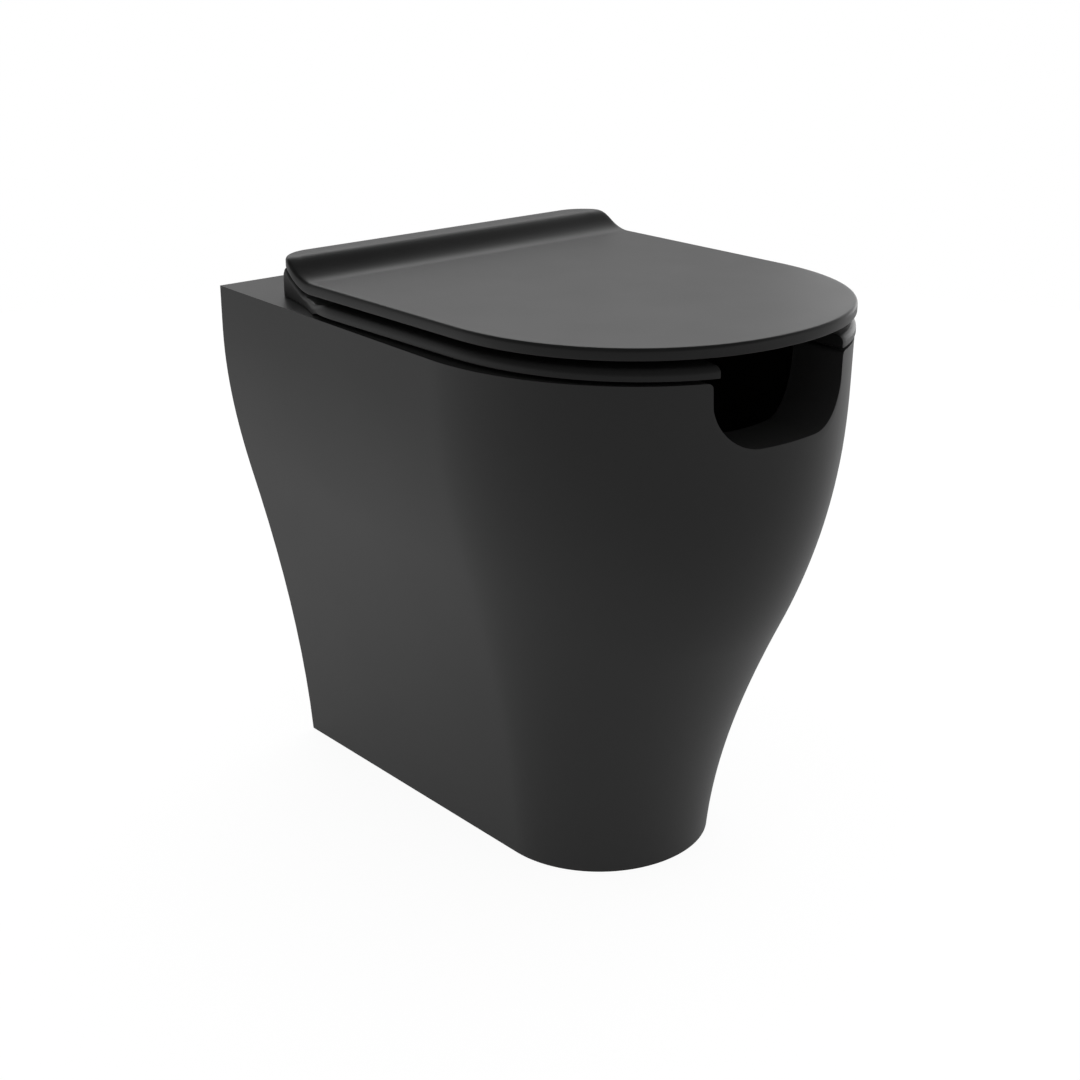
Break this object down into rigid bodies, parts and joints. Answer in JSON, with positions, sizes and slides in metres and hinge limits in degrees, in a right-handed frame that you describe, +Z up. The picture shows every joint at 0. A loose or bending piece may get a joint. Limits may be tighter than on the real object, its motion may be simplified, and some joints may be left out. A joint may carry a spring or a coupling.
{
  "type": "back-to-wall toilet",
  "caption": "Satin black back-to-wall toilet pan with a notched rim front, an open-front seat and a thin lid with a raised rear edge on soft-close hinges",
  "frame": {"origin": "on the floor, under the middle of the pan's depth and width", "axes": "+Z up, -Y towards the sitter's feet at the front, +Y towards the wall, +X to the right seen from the front"},
  "size_m": [0.3736, 0.5279, 0.506],
  "materials": {
    "ceramic": "satin black glaze",
    "seat_plastic": "satin black moulded",
    "lid_plastic": "satin black moulded",
    "hinge_plastic": "black moulded",
    "damper_plastic": "natural moulded",
    "bush_plastic": "moulded",
    "rubber": "matt black",
    "steel": "drawn bar",
    "zinc": "zinc plated"
  },
  "bodies": {
    "pan_body": {"pan": "ceramic", "skirt": "ceramic", "bowl": "ceramic", "trapway": "ceramic", "flush_inlet": "ceramic", "post_left": "hinge_plastic", "post_right": "hinge_plastic", "pin_left": "steel", "pin_right": "steel", "post_gasket_left": "rubber", "post_gasket_right": "rubber", "stud_left": "steel", "stud_right": "steel", "sleeve_left": "rubber", "sleeve_right": "rubber", "washer_left": "zinc", "washer_right": "zinc", "nut_left": "zinc", "nut_right": "zinc"},
    "seat_body": {"seat": "seat_plastic", "seat_damper": "damper_plastic", "seat_bush": "bush_plastic", "seat_buffer_left": "rubber", "seat_buffer_right": "rubber", "seat_buffer_front_left": "rubber", "seat_buffer_front_right": "rubber"},
    "lid_body": {"lid": "lid_plastic", "lid_damper": "damper_plastic", "lid_bush": "bush_plastic", "lid_buffer_left": "rubber", "lid_buffer_right": "rubber", "lid_buffer_front_left": "rubber", "lid_buffer_front_right": "rubber"}
  },
  "joints": [
    {"name": "seat_hinge", "type": "hinge", "parent": "pan_body", "child": "seat_body", "pos_m": [0, 0.192, 0.4755], "axis": [-1, 0, 0], "range_deg": [0, 92]},
    {"name": "lid_hinge", "type": "hinge", "parent": "pan_body", "child": "lid_body", "pos_m": [0, 0.192, 0.4755], "axis": [-1, 0, 0], "range_deg": [0, 95]}
  ],
  "couplings": [
    {"joint": "lid_hinge", "follows": "seat_hinge", "ratio": 1.03}
  ]
}
